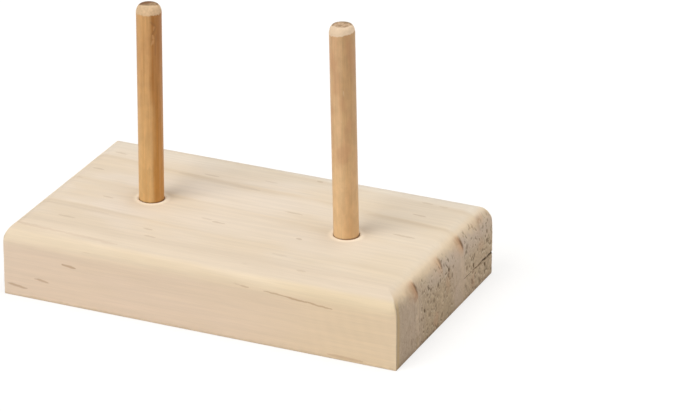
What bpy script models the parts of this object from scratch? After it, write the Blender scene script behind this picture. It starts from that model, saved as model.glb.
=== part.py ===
# Thread stand: a pine base block with a row of two dowel pegs standing in blind holes.
# Metres, +Z up. The origin is the centre of the underside. The length runs along X,
# and the front long side faces -Y.

import math

import bmesh
import bpy
from mathutils import Matrix, Vector

# Base block
BASE_LENGTH = 0.095
BASE_DEPTH = 0.055
BASE_THICKNESS = 0.0175
TOP_ROUNDING = 0.0048  # radius routed along all four top edges
ROUNDING_STEPS = 10

# Places of the drilled holes, to their axes in the top face
LEFT_HOLE_FROM_LEFT_END = 0.0244
RIGHT_HOLE_FROM_RIGHT_END = 0.0230
HOLES_FROM_FRONT = 0.0253

# Wood left under each peg: the left hole is the deeper one
LEFT_FLOOR = 0.0037
RIGHT_FLOOR = 0.0065

# Pegs, cut to one length from one dowel
PEG_LENGTH = 0.060
PEG_DIAMETER = 0.0057
PEG_SIDES = 48
RIGHT_PEG_LEAN = math.radians(1.5)  # the right hole is drilled a little off square, to the left

# Turned tip at both ends of a peg: a steep, slightly bulging chamfer round a small flat end
TIP_LENGTH = 0.0015
TIP_FLAT_DIAMETER = 0.0041
TIP_BULGE = 0.00016  # how far the middle of the chamfer stands out of a straight cone
TIP_STEPS = 5

# Seats
SEAT_GAP = 0.0003  # glue space round and under a peg
MOUTH_CHAMFER = 0.0003  # broken edge at the mouth of a hole
DRILL_POINT_ANGLE = math.radians(118.0)
CUT_OVERRUN = 0.002

# Worked out from the sizes above
LEFT_HOLE_X = -BASE_LENGTH / 2 + LEFT_HOLE_FROM_LEFT_END
RIGHT_HOLE_X = BASE_LENGTH / 2 - RIGHT_HOLE_FROM_RIGHT_END
HOLES_Y = -BASE_DEPTH / 2 + HOLES_FROM_FRONT
PEG_RADIUS = PEG_DIAMETER / 2
HOLE_RADIUS = PEG_RADIUS + SEAT_GAP

# Colours (linear red, green, blue) and surface of each wood
PINE = {"colour": (0.80, 0.66, 0.48), "roughness": 0.62}
AMBER_DOWEL = {"colour": (0.52, 0.29, 0.12), "roughness": 0.50}
TAN_DOWEL = {"colour": (0.58, 0.37, 0.19), "roughness": 0.50}


def clear_scene():
    for old in list(bpy.data.objects):
        bpy.data.objects.remove(old, do_unlink=True)


def wood(name, look):
    material = bpy.data.materials.new(name)
    material.use_nodes = True
    shader = material.node_tree.nodes["Principled BSDF"]
    shader.inputs["Base Color"].default_value = (*look["colour"], 1.0)
    shader.inputs["Roughness"].default_value = look["roughness"]
    shader.inputs["Metallic"].default_value = 0.0
    material.diffuse_color = (*look["colour"], 1.0)
    return material


def new_object(name, form, material):
    """Makes an object of a bmesh, with its normals facing out."""
    bmesh.ops.recalc_face_normals(form, faces=form.faces)
    mesh = bpy.data.meshes.new(name)
    form.to_mesh(mesh)
    form.free()
    made = bpy.data.objects.new(name, mesh)
    bpy.context.scene.collection.objects.link(made)
    if material:
        mesh.materials.append(material)
    return made


def turned(profile, sides):
    """A closed body of revolution about Z from (radius, height) points that run from axis to axis."""
    form = bmesh.new()
    points = [form.verts.new((radius, 0, height)) for radius, height in profile]
    edges = [form.edges.new(pair) for pair in zip(points, points[1:])]
    bmesh.ops.spin(
        form,
        geom=points + edges,
        cent=(0, 0, 0),
        axis=(0, 0, 1),
        angle=2 * math.pi,
        steps=sides,
        use_merge=True,
    )
    bmesh.ops.remove_doubles(form, verts=form.verts, dist=SEAT_GAP / 100)
    return form


def tip_profile():
    """Radius and distance from the end of the peg, from the flat end to the full diameter."""
    flat_radius = TIP_FLAT_DIAMETER / 2
    along = Vector((PEG_RADIUS - flat_radius, TIP_LENGTH))
    outward = Vector((along.y, -along.x)).normalized()
    points = []
    for step in range(TIP_STEPS + 1):
        share = step / TIP_STEPS
        bulge = TIP_BULGE * math.sin(math.pi * share)
        points.append(Vector((flat_radius, 0)) + along * share + outward * bulge)
    return [(min(point.x, PEG_RADIUS), point.y) for point in points]


def peg_form():
    """The peg with its lower end on the origin and its axis up Z."""
    tip = tip_profile()
    lower = [(radius, height) for radius, height in tip]
    upper = [(radius, PEG_LENGTH - height) for radius, height in reversed(tip)]
    return turned([(0, 0), *lower, *upper, (0, PEG_LENGTH)], PEG_SIDES)


def hole_form(depth):
    """The space to take out for a blind hole, with its floor at the origin and its mouth at this depth."""
    point_depth = HOLE_RADIUS / math.tan(DRILL_POINT_ANGLE / 2)
    mouth_radius = HOLE_RADIUS + MOUTH_CHAMFER
    profile = [
        (0, -point_depth),
        (HOLE_RADIUS, 0),
        (HOLE_RADIUS, depth - MOUTH_CHAMFER),
        (mouth_radius, depth),
        (mouth_radius, depth + CUT_OVERRUN),
        (0, depth + CUT_OVERRUN),
    ]
    return turned(profile, PEG_SIDES)


def smooth(made, sharp_from):
    made.data.shade_smooth()
    made.data.set_sharp_from_angle(angle=sharp_from)


def peg_place(hole_x, floor, lean):
    """The place of a peg's lower end, down the axis that meets the top face at hole_x."""
    mouth = Matrix.Translation((hole_x, HOLES_Y, BASE_THICKNESS))
    down = Matrix.Translation((0, 0, floor + SEAT_GAP - BASE_THICKNESS))
    return mouth @ Matrix.Rotation(-lean, 4, "Y") @ down


def add_block(material, seats):
    """The base block: four rounded top edges that meet in mitres, and one blind hole for each seat."""
    form = bmesh.new()
    bmesh.ops.create_cube(form, size=1)
    bmesh.ops.scale(form, vec=(BASE_LENGTH, BASE_DEPTH, BASE_THICKNESS), verts=form.verts)
    bmesh.ops.translate(form, vec=(0, 0, BASE_THICKNESS / 2), verts=form.verts)
    top_edges = [edge for edge in form.edges if all(end.co.z > BASE_THICKNESS / 2 for end in edge.verts)]
    bmesh.ops.bevel(
        form,
        geom=top_edges,
        offset=TOP_ROUNDING,
        offset_type="OFFSET",
        segments=ROUNDING_STEPS,
        profile=0.5,
        affect="EDGES",
    )
    block = new_object("base_block", form, material)
    for name, (floor, place) in seats.items():
        cutter = new_object(name, hole_form(BASE_THICKNESS - floor), None)
        cutter.matrix_world = place @ Matrix.Translation((0, 0, -SEAT_GAP))
        cutter.hide_render = True
        cutter.display_type = "WIRE"
        cut = block.modifiers.new(name, "BOOLEAN")
        cut.operation = "DIFFERENCE"
        cut.solver = "EXACT"
        cut.object = cutter
    smooth(block, math.radians(30.0))
    return block


def add_peg(name, material, place):
    peg = new_object(name, peg_form(), material)
    peg.matrix_world = place
    smooth(peg, math.radians(25.0))
    return peg


def build():
    clear_scene()
    left = peg_place(LEFT_HOLE_X, LEFT_FLOOR, 0)
    right = peg_place(RIGHT_HOLE_X, RIGHT_FLOOR, RIGHT_PEG_LEAN)
    seats = {"left_hole": (LEFT_FLOOR, left), "right_hole": (RIGHT_FLOOR, right)}
    add_block(wood("pine", PINE), seats)
    add_peg("left_peg", wood("amber_dowel", AMBER_DOWEL), left)
    add_peg("right_peg", wood("tan_dowel", TAN_DOWEL), right)


build()
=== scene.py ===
import math

import bmesh
import bpy
import numpy as np
from mathutils import Matrix, Vector, noise


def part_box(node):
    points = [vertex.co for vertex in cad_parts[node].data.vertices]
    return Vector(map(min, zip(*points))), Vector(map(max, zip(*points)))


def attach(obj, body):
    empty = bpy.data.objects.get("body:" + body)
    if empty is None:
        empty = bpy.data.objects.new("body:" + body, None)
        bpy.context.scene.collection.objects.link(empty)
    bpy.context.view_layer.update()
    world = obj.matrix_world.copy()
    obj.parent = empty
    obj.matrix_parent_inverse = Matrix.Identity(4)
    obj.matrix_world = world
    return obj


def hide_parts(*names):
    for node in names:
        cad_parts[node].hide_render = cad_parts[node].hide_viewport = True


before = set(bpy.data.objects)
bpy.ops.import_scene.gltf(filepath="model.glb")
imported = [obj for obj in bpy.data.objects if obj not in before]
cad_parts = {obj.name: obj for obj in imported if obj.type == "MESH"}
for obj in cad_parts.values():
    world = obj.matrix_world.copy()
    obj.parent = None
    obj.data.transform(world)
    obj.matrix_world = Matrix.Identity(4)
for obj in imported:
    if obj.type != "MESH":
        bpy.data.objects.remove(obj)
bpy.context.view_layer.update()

mm = 0.001  # every length below is in millimetres, and mm turns it into metres
print("Thread stand: frame loaded")


# Small helpers for meshes

joining = {"weld": 0.004, "sliver": 0.002}  # points this close are joined, and shorter edges go


def boxInMm(node):
    low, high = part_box(node)
    return np.array(low) / mm, np.array(high) / mm


def smoothStep(value, start, end):
    share = np.clip((value - start) / (end - start), 0.0, 1.0)
    return share * share * (3.0 - 2.0 * share)


def fractal(point, size, layers=3, seed=0.0):
    # soft noise from about -1 to 1, with features of this size
    place = Vector(point) / size + Vector((seed, seed * 0.7, -seed * 1.3))
    return noise.fractal(place, 1.0, 2.0, layers)


def makeObject(name, points, faces, material, sharpFrom):
    mesh = bpy.data.meshes.new(name)
    mesh.from_pydata([tuple(point * mm) for point in points], [], faces)
    work = bmesh.new()
    work.from_mesh(mesh)
    bmesh.ops.remove_doubles(work, verts=work.verts, dist=joining["weld"] * mm)
    bmesh.ops.dissolve_degenerate(work, edges=work.edges, dist=joining["sliver"] * mm)
    loose = [vert for vert in work.verts if not vert.link_faces]
    bmesh.ops.delete(work, geom=loose, context="VERTS")
    bmesh.ops.recalc_face_normals(work, faces=work.faces)
    openEdges = sum(len(edge.link_faces) != 2 for edge in work.edges)
    work.to_mesh(mesh)
    work.free()
    mesh.shade_smooth()
    mesh.set_sharp_from_angle(angle=math.radians(sharpFrom))
    mesh.materials.append(material)
    print(f"  {name}: {len(mesh.vertices)} points, {len(mesh.polygons)} faces, {openEdges} open edges")
    return addToScene(name, mesh)


def addToScene(name, content):
    made = bpy.data.objects.new(name, content)
    bpy.context.scene.collection.objects.link(made)
    return made


def addRow(points, row):
    # adds a row of points, and gives their numbers
    start = len(points)
    points.extend(row)
    return list(range(start, len(points)))


def bridge(faces, before, after):
    # a band of faces between two closed rows of points
    for here in range(len(before)):
        there = (here + 1) % len(before)
        faces.append((before[here], before[there], after[there], after[here]))


def closeRow(points, faces, row, tip):
    # a fan of faces from a closed row of points to one tip
    middle = addRow(points, [np.array(tip)])[0]
    for here in range(len(row)):
        faces.append((row[here], row[(here + 1) % len(row)], middle))


# Small helpers for node trees

origin = (0.0, 0.0, 0.0)
number, vector = "NodeSocketFloat", "NodeSocketVector"


def srgb(red, green, blue):
    # a colour as it looks on screen, 0 to 255, turned into the linear one that nodes use
    shares = [channel / 255.0 for channel in (red, green, blue)]
    linear = [share / 12.92 if share <= 0.04045 else ((share + 0.055) / 1.055) ** 2.4 for share in shares]
    return (*linear, 1.0)


drawing = {"tree": None}  # the node tree that the helpers below work in


def openTree(tree):
    drawing["tree"] = tree


def newNode(kind):
    return drawing["tree"].nodes.new(kind)


def plug(source, target):
    if isinstance(source, bpy.types.NodeSocket):
        drawing["tree"].links.new(source, target)
    else:
        target.default_value = source


def calc(operation, *values, clamp=False):
    node = newNode("ShaderNodeMath")
    node.operation = operation
    node.use_clamp = clamp
    for value, socket in zip(values, node.inputs):
        plug(value, socket)
    return node.outputs[0]


def gather(operation, values):
    result = values[0]
    for value in values[1:]:
        result = calc(operation, result, value)
    return result


def plus(value, other):
    return calc("ADD", value, other)


def minus(value, other):
    return calc("SUBTRACT", value, other)


def times(*values):
    return gather("MULTIPLY", values)


def strongest(*values):
    return gather("MAXIMUM", values)


def scaleAdd(value, factor, offset):
    return calc("MULTIPLY_ADD", value, factor, offset)


def calcVector(operation, *values, scale=None):
    node = newNode("ShaderNodeVectorMath")
    node.operation = operation
    for value, socket in zip(values, node.inputs):
        plug(value, socket)
    if scale is not None:
        plug(scale, node.inputs["Scale"])
    givesNumber = operation in ("DOT_PRODUCT", "DISTANCE", "LENGTH")
    return node.outputs["Value" if givesNumber else "Vector"]


def fade(value, start, end, low=0.0, high=1.0):
    # follows value from low at start to high at end, eased at both ends
    node = newNode("ShaderNodeMapRange")
    node.interpolation_type = "SMOOTHSTEP"
    names = ("Value", "From Min", "From Max", "To Min", "To Max")
    for name, source in zip(names, (value, start, end, low, high)):
        plug(source, node.inputs[name])
    return node.outputs["Result"]


def mixColour(share, under, over, mode="MIX"):
    node = newNode("ShaderNodeMix")
    node.data_type = "RGBA"
    node.blend_type = mode
    for source, socket in ((share, node.inputs[0]), (under, node.inputs[6]), (over, node.inputs[7])):
        plug(source, socket)
    return node.outputs[2]


def layColours(colour, layers):
    # lays one colour over the other: (share, colour) each
    for share, over in layers:
        colour = mixColour(share, colour, over)
    return colour


def shade(colour, tone):
    return mixColour(1.0, colour, join(tone, tone, tone), "MULTIPLY")


def softNoise(position, size, detail=2.0, rough=0.5, stretch=(1.0, 1.0, 1.0), shift=origin):
    # size is in the units of position, and stretch lengthens the features along x, y and z
    moved = calcVector("ADD", position, shift)
    scaled = calcVector("MULTIPLY", moved, [1.0 / (size * along) for along in stretch])
    node = newNode("ShaderNodeTexNoise")
    plug(scaled, node.inputs["Vector"])
    node.inputs["Scale"].default_value = 1.0
    node.inputs["Detail"].default_value = detail
    node.inputs["Roughness"].default_value = rough
    return node.outputs["Fac"]


def split(position):
    node = newNode("ShaderNodeSeparateXYZ")
    plug(position, node.inputs[0])
    return node.outputs


def join(x, y, z):
    node = newNode("ShaderNodeCombineXYZ")
    for source, socket in zip((x, y, z), node.inputs):
        plug(source, socket)
    return node.outputs[0]


def ramp(value, stops, interpolation="LINEAR"):
    # stops are (place, tone) pairs, and a tone is a number or a colour
    node = newNode("ShaderNodeValToRGB")
    band = node.color_ramp
    band.interpolation = interpolation
    while len(band.elements) < len(stops):
        band.elements.new(0.5)
    for element, (place, tone) in zip(band.elements, stops):
        element.position = place
        element.color = tone if isinstance(tone, tuple) else (tone, tone, tone, 1.0)
    plug(value, node.inputs[0])
    return node.outputs["Color"]


def startGroup(name, inputs, outputs):
    group = bpy.data.node_groups.new(name, "ShaderNodeTree")
    for label, kind, value in inputs:
        socket = group.interface.new_socket(label, in_out="INPUT", socket_type=kind)
        socket.default_value = value
    for label, kind in outputs:
        group.interface.new_socket(label, in_out="OUTPUT", socket_type=kind)
    openTree(group)
    return group, newNode("NodeGroupInput").outputs, newNode("NodeGroupOutput").inputs


def useGroup(name, values):
    node = newNode("ShaderNodeGroup")
    node.node_tree = groups[name]
    for label, source in values.items():
        plug(source, node.inputs[label])
    return node.outputs


# Growth rings: shared by the shape of the ends and by the pine's colour

rings = {
    # where each dark latewood band stops, and how clearly it shows on the ends
    "edges": ((-38.0, 1.0), (-25.5, 1.0), (-12.2, 1.0), (1.4, 0.75), (14.0, 1.0), (24.1, 0.2), (35.5, 0.5)),
    "rise": 6.5,  # width over which a band darkens before it stops
    "partway": (0.45, 0.28),  # share of that width that is left, and the darkness there
    "drop": 0.45,  # half width of its hard outer edge
    "soft": ((0.0, 0.0), (0.6, 1.0), (3.0, 0.45), (6.0, 0.0)),  # soft wood past an edge: distance and share
    "line": (0.1, 0.30, 0.90),  # thin dark line inside an edge, partly painted shade of the step there: its distance, and where it starts and stops fading
    "heart": -120.0,  # the tree's heart lies this far in front of the block
    "slant": 0.056,  # how far the bands slip forward per millimetre of length
    "fan": 0.0006,  # change of that slant across the depth
    "span": 45.0,  # the bands are drawn this far to both sides of the middle
    "waves": ((0.35, 0.12, 0.30, 0.0), (0.12, 0.45, 0.0, 0.8)),  # height, and turns along x, y and z
}


def ringPlace(x, y, z):
    # where a point lies across the rings
    place = np.hypot(y - rings["heart"], z) + rings["heart"] + x * (rings["slant"] + rings["fan"] * y)
    for height, alongX, alongY, alongZ in rings["waves"]:
        place = place + height * np.sin(alongX * x + alongY * y + alongZ * z)
    return place


def ringStops(onEnds):
    # darkness across the rings, on the long faces or on the ends: slow rise, hard stop
    stops = []
    rise, drop, (left, tone) = rings["rise"], rings["drop"], rings["partway"]
    for edge, clear in rings["edges"]:
        dark = clear if onEnds else 1.0
        stops += [(edge - rise, 0.0), (edge - rise * left, tone * dark)]
        stops += [(edge - drop, dark), (edge + drop, 0.0)]
    return stops


def softStops():
    # the soft wood just past each edge: sudden start, slow fade
    return [(edge + out, share * clear) for edge, clear in rings["edges"] for out, share in rings["soft"]]


def ringGroup():
    group, given, wanted = startGroup(
        "ringBands",
        [("Position", vector, origin)],
        [("Late", number), ("Late On End", number), ("Soft", number), ("Edge", number)],
    )
    x, y, z = split(given["Position"])
    flat = join(minus(y, rings["heart"]), z, 0.0)
    radius = plus(calcVector("LENGTH", flat), rings["heart"])
    place = plus(radius, times(x, scaleAdd(y, rings["fan"], rings["slant"])))
    for height, *along in rings["waves"]:
        turn = calcVector("DOT_PRODUCT", given["Position"], along)
        place = scaleAdd(calc("SINE", turn), height, place)
    span = rings["span"]
    share = calc("DIVIDE", plus(place, span), 2.0 * span)
    for label, stops in (("Late", ringStops(False)), ("Late On End", ringStops(True)), ("Soft", softStops())):
        tones = ramp(share, [((at + span) / (2.0 * span), tone) for at, tone in stops])
        plug(tones, wanted[label])
    inset, full, gone = rings["line"]
    lines = []
    for edge, clear in rings["edges"]:
        away = calc("ABSOLUTE", minus(place, edge - inset))
        lines.append(fade(away, full, gone, clear, 0.0))
    plug(strongest(*lines), wanted["Edge"])
    return group


# Other effects that the pine and the dowels share

def fibreGroup():
    # long thin fibres along the group's x
    group, given, wanted = startGroup(
        "woodFibres",
        [("Position", vector, origin), ("Width", number, 1.0), ("Length", number, 30.0)],
        [("Streaks", number), ("Fine", number)],
    )
    thin = calc("DIVIDE", 1.0, given["Width"])
    scale = join(calc("DIVIDE", 1.0, given["Length"]), thin, thin)
    scaled = calcVector("MULTIPLY", given["Position"], scale)
    streaks = softNoise(scaled, size=1.0, detail=3.0, rough=0.55)
    fine = softNoise(scaled, size=0.22, rough=0.6, stretch=(1.6, 1.0, 1.0), shift=(3.1, 7.7, 1.9))
    plug(fade(streaks, start=0.32, end=0.68), wanted["Streaks"])
    plug(fade(fine, start=0.30, end=0.70), wanted["Fine"])
    return group


def scatterCells(position):
    # one cell round each scattered point: distance from the point, and three numbers to pick by
    cells = newNode("ShaderNodeTexVoronoi")
    cells.inputs["Scale"].default_value = 1.0
    plug(position, cells.inputs["Vector"])
    return cells.outputs["Distance"], split(cells.outputs["Color"])


def canalGroup():
    # scattered short dark dashes along the group's x
    group, given, wanted = startGroup(
        "scatteredDashes",
        [
            ("Position", vector, origin),
            ("Half Length", number, 1.5),
            ("Half Width", number, 0.1),
            ("Crowding", number, 0.11),  # radius of a dash within its cell
            ("Share", number, 0.06),
        ],
        [("Dashes", number)],
    )
    fullWithin = 0.35  # share of its radius over which a dash keeps its full strength
    reach = given["Crowding"]
    long = calc("DIVIDE", reach, given["Half Length"])
    wide = calc("DIVIDE", reach, given["Half Width"])
    stretched = calcVector("MULTIPLY", given["Position"], join(long, wide, wide))
    away, picks = scatterCells(stretched)
    shape = fade(away, times(reach, fullWithin), reach, 1.0, 0.0)
    chosen = calc("LESS_THAN", picks[0], given["Share"])
    plug(times(shape, chosen), wanted["Dashes"])
    return group


def poreGroup():
    # cut ends of the fibres, looked at along the group's x
    group, given, wanted = startGroup(
        "endGrainPores",
        [("Position", vector, origin), ("Size", number, 0.5)],
        [("Mottle", number), ("Pores", number)],
    )
    flatten, fewerThan = (0.12, 1.0, 0.62), 0.72  # shape of the pores, and share of them left out
    scaled = calcVector("SCALE", given["Position"], scale=calc("DIVIDE", 1.0, given["Size"]))
    mottle = softNoise(scaled, size=2.6, detail=4.0, rough=0.62, stretch=(3.0, 1.0, 1.5))
    away, picks = scatterCells(calcVector("MULTIPLY", scaled, flatten))
    pores = fade(away, start=0.10, end=0.36, low=1.0, high=0.0)
    chosen = calc("GREATER_THAN", picks[1], fewerThan)
    plug(fade(mottle, start=0.3, end=0.7), wanted["Mottle"])
    plug(times(pores, chosen), wanted["Pores"])
    return group


def strokeGroup():
    # one tapered mark from Start to End
    group, given, wanted = startGroup(
        "stroke",
        [
            ("Position", vector, origin),
            ("Start", vector, origin),
            ("End", vector, (1.0, 0.0, 0.0)),
            ("Half Width", number, 0.15),
        ],
        [("Mask", number)],
    )
    thinner, blunt = 0.6, 3.0  # how much thinner both ends are, and how late they start to taper
    inner, outer = 0.3, 1.35  # shares of the half width between which the mark fades
    along = calcVector("SUBTRACT", given["End"], given["Start"])
    away = calcVector("SUBTRACT", given["Position"], given["Start"])
    reached = calcVector("DOT_PRODUCT", away, along)
    whole = calcVector("DOT_PRODUCT", along, along)
    share = calc("DIVIDE", reached, whole, clamp=True)
    nearest = calcVector("SCALE", along, scale=share)
    distance = calcVector("LENGTH", calcVector("SUBTRACT", away, nearest))
    fromMiddle = calc("ABSOLUTE", scaleAdd(share, 2.0, -1.0))
    taper = scaleAdd(calc("POWER", fromMiddle, blunt), -thinner, 1.0)
    width = times(given["Half Width"], taper)
    mask = fade(distance, times(width, inner), times(width, outer), 1.0, 0.0)
    plug(mask, wanted["Mask"])
    return group


def drawStrokes(position, strokes):
    # the strongest of several marks: (start, end, half width, strength) each
    masks = []
    for start, end, halfWidth, strength in strokes:
        values = {"Position": position, "Start": start, "End": end, "Half Width": halfWidth}
        masks.append(times(useGroup("stroke", values)["Mask"], strength))
    return strongest(*masks)


def drawSpots(flatPosition, spots):
    # the strongest of several round spots in one plane: (centre, radius, strength) each
    inner, outer = 0.45, 1.15  # shares of the radius between which a spot fades
    masks = []
    for centre, radius, strength in spots:
        away = calcVector("DISTANCE", flatPosition, centre)
        masks.append(fade(away, radius * inner, radius * outer, strength, 0.0))
    return strongest(*masks)


groups = {
    "rings": ringGroup(),
    "fibres": fibreGroup(),
    "canals": canalGroup(),
    "pores": poreGroup(),
    "stroke": strokeGroup(),
}


def startMaterial(name):
    material = bpy.data.materials.new(name)
    material.use_nodes = True
    openTree(material.node_tree)
    position = newNode("ShaderNodeTexCoord").outputs["Object"]
    return material, calcVector("SCALE", position, scale=1.0 / mm)


def finishSurface(colour, rough, shine, height, distance, strength):
    # plugs the looks into the shader, with a bump of this distance and strength
    shader = drawing["tree"].nodes["Principled BSDF"]
    bump = newNode("ShaderNodeBump")
    bump.inputs["Strength"].default_value = strength
    bump.inputs["Distance"].default_value = distance * mm
    plug(height, bump.inputs["Height"])
    plug(colour, shader.inputs["Base Color"])
    plug(rough, shader.inputs["Roughness"])
    plug(bump.outputs["Normal"], shader.inputs["Normal"])
    shader.inputs["Specular IOR Level"].default_value = shine


# The pine block

blockLow, blockHigh = boxInMm("base_block")
block = {
    "length": blockHigh[0] - blockLow[0],
    "depth": blockHigh[1] - blockLow[1],
    "thickness": blockHigh[2] - blockLow[2],
    "rounding": 4.8,  # radius of the four top edges
    "roundingSteps": 24,
    "cell": 0.30,  # mesh cell across the grain
    "longCell": 1.3,  # mesh cell along the grain
    "endStrip": 1.0,  # width of the last strip of mesh before the rounding of an end
    "crackCell": 0.10,  # mesh cell up the sides, beside the crack
    "crackBand": (0.5, 0.6),  # how far that finer mesh reaches above and below it
    "wornEdge": 0.35,  # how far in the sharp lower edges and corners are worn round
    "wornSteps": 3,
    "hair": 0.01,  # points inside the worn edges lie at least this far in
    "creaseWear": 0.25,  # share by which the mitred corners are sanded back
    "sharpFrom": 50.0,  # edges that turn by more degrees than this stay crisp
}

holes = {
    "left": {"x": -23.1, "y": -2.2, "floor": 3.7, "lean": 0.0},
    "right": {"x": 24.5, "y": -2.2, "floor": 6.5, "lean": 1.5},
}

holeFit = {
    "radius": 2.95,
    "shift": (0.05, 0.02),  # the peg stands against one side of its hole
    "mouth": 0.12,  # width of the broken edge
    "mouthTurns": (30.0, 60.0, 90.0),  # degrees round it at which the mesh has a row
    "burr": 0.035,  # raised fuzz just outside it
    "burrPower": 5,  # how close to the mouth the fuzz stands
    "burrUneven": {"share": 0.6, "size": 0.8, "seed": 9.0},
    "window": 4.2,  # half size of the square of finer mesh round a hole
    "windowCell": 0.35,
    "rings": 12,
    "closing": 0.8,  # below 1, the rings come closer together towards the hole
    "wallSteps": 14,
    "point": 1.8,  # depth of the drill point
}

endGrain = {
    "stand": 0.30,  # how far latewood stands out of the softer wood between, at the right end
    "standLeft": 0.10,
    "starts": (1.9, 0.3),  # the relief starts and is whole this far in from an end
    "low": (10.5, 14.0),  # it fades downwards between these heights
    "lowShare": 0.2,  # share of it that is left below them
    "roughness": 0.05,
    "grit": ((1.3, 1.0, 2.0), (0.5, 0.6, 5.0)),  # size, share and seed of each layer of roughness
    "gritAlong": 0.4,  # below 1, it is longer along the grain
    "crack": ((10.5, 5.70), (15.8, 5.44), (19.6, 5.18), (21.5, 5.42), (24.8, 5.20), (27.6, 5.28)),
    "crackWidths": (0.08, 0.15, 0.22, 0.26, 0.33),  # half widths of its dark line, from step to step
    "crackLevel": 5.18,  # height of its middle
    "crackDepth": 1.0,
    "crackHalfWidth": 0.18,
    "crackOpens": (3.0, 11.0),  # it opens between these distances from its inner end
    "crackCloses": (1.6, 0.3),  # and closes between these distances from its other end
    "closedShare": 0.75,  # by this share
    "check": ((24.6, 6.3), (25.1, 4.6), (24.7, 3.0), (24.9, 1.6)),  # a fine upright check that crosses it
    "checkWidth": 0.15,
    "checkShare": 0.6,
    "pitDepth": 1.0,  # depth of a pit, for each millimetre of its radius
    "pitSquat": 0.8,  # below 1, the pits are taller than wide
}

longGrain = {"wave": 0.02, "waveSize": 9.0, "waveAlong": 0.3}  # faint unevenness of the long faces

# torn pits in the right end: place across the depth, height, radius and darkness
pits = (
    (-9.6, 12.3, 0.34, 0.8), (-8.3, 11.1, 0.34, 0.7), (-10.5, 10.8, 0.26, 0.6), (-12.7, 12.4, 0.34, 0.35),
    (-4.1, 10.4, 0.48, 0.75), (-6.4, 7.8, 0.40, 0.6), (-11.6, 7.5, 0.36, 0.9), (-8.7, 5.4, 0.34, 0.4),
    (-5.4, 5.3, 0.34, 0.35), (2.1, 11.5, 0.40, 0.95), (4.3, 11.3, 0.30, 0.5), (1.4, 10.5, 0.30, 0.65),
    (3.8, 9.6, 0.40, 0.5), (-0.3, 13.6, 0.30, 0.4), (12.7, 12.6, 0.50, 0.4), (16.7, 8.9, 0.38, 0.5),
    (12.5, 7.5, 0.40, 0.6), (16.5, 6.5, 0.40, 0.95), (24.2, 9.5, 0.38, 0.85), (24.2, 11.7, 0.34, 0.7),
    (24.0, 13.1, 0.26, 0.5), (23.1, 4.1, 0.38, 0.85), (15.8, 2.7, 0.40, 0.6), (-1.9, 2.3, 0.50, 0.5),
    (-15.8, 2.3, 0.80, 0.4), (-18.9, 3.2, 0.60, 0.3), (20.0, 1.3, 0.50, 0.5), (25.6, 15.4, 0.45, 0.6),
    (25.2, 13.9, 0.30, 0.5), (-13.4, 6.1, 0.28, 0.5), (-7.6, 12.9, 0.26, 0.5), (-9.9, 8.9, 0.30, 0.6),
    (16.3, 16.1, 0.26, 0.95), (17.1, 15.6, 0.24, 0.8), (15.5, 15.5, 0.22, 0.7), (18.2, 14.6, 0.26, 0.5),
    (22.0, 14.9, 0.30, 0.55), (22.3, 13.5, 0.28, 0.5),
)

# soft stains in the right end, by colour: place across the depth, height, radius and strength
stains = {
    "endBrown": (
        (-17.3, 14.7, 1.3, 0.34), (-18.4, 15.4, 1.4, 0.26), (-16.9, 13.2, 0.9, 0.24),
        (-19.8, 15.0, 1.6, 0.16), (8.5, 15.5, 1.0, 0.34), (7.0, 15.7, 1.0, 0.2),
        (16.3, 16.0, 0.55, 0.5), (17.5, 15.6, 0.5, 0.4), (12.2, 16.0, 0.5, 0.3), (21.2, 15.7, 0.8, 0.25),
    ),
    "endRust": (
        (1.6, 8.9, 2.0, 0.28), (-5.9, 2.4, 1.8, 0.28), (16.5, 2.4, 1.9, 0.22), (20.5, 9.8, 1.6, 0.22),
        # the last one, at the top back corner, is partly a stain and partly painted shade there
        (21.6, 16.4, 1.9, 0.34),
    ),
}


def gridLines(half, stops):
    # mesh lines across the block: flat place, side of the rounding, and step round it
    steps = block["roundingSteps"]
    edge = half - block["rounding"]
    lines = [(-edge, -1, step) for step in range(steps, 0, -1)] + [(-edge, 0, 0)]
    start = -edge
    for end, cell in [*stops, (edge, stops[-1][1])]:
        count = max(1, round((end - start) / cell))
        lines += [(start + (end - start) * step / count, 0, 0) for step in range(1, count + 1)]
        start = end
    lines += [(edge, 1, step) for step in range(1, steps + 1)]
    return np.array(lines).T


def wearRound(points):
    # wears the sharp edges and corners of the block round
    worn = block["wornEdge"]
    half = np.array((block["length"] / 2, block["depth"] / 2))
    inside = np.column_stack((half - abs(points[:, :2]), points[:, 2]))
    reach = np.maximum(worn - inside, 0.0)
    length = np.linalg.norm(reach, axis=1)
    eased = reach * np.where(length > worn, worn / np.maximum(length, worn), 1.0)[:, None]
    moved = points.copy()
    corners = np.sign(points[:, :2]) * (half - worn + eased[:, :2])
    moved[:, :2] = np.where(reach[:, :2] > 0, corners, points[:, :2])
    moved[:, 2] = np.where(reach[:, 2] > 0, worn - eased[:, 2], points[:, 2])
    return moved


def crackRelief(y, z):
    # depth of the drying crack at the right end, 0 away from it
    height = np.interp(y, *zip(*endGrain["crack"]))
    first, last = endGrain["crack"][0][0], endGrain["crack"][-1][0]
    opens, closes = endGrain["crackOpens"], endGrain["crackCloses"]
    opening = smoothStep(y, first + opens[0], first + opens[1])
    opening = opening * (1.0 - endGrain["closedShare"] * smoothStep(y, last - closes[0], last - closes[1]))
    return opening * np.exp(-(((z - height) / endGrain["crackHalfWidth"]) ** 2))


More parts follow.
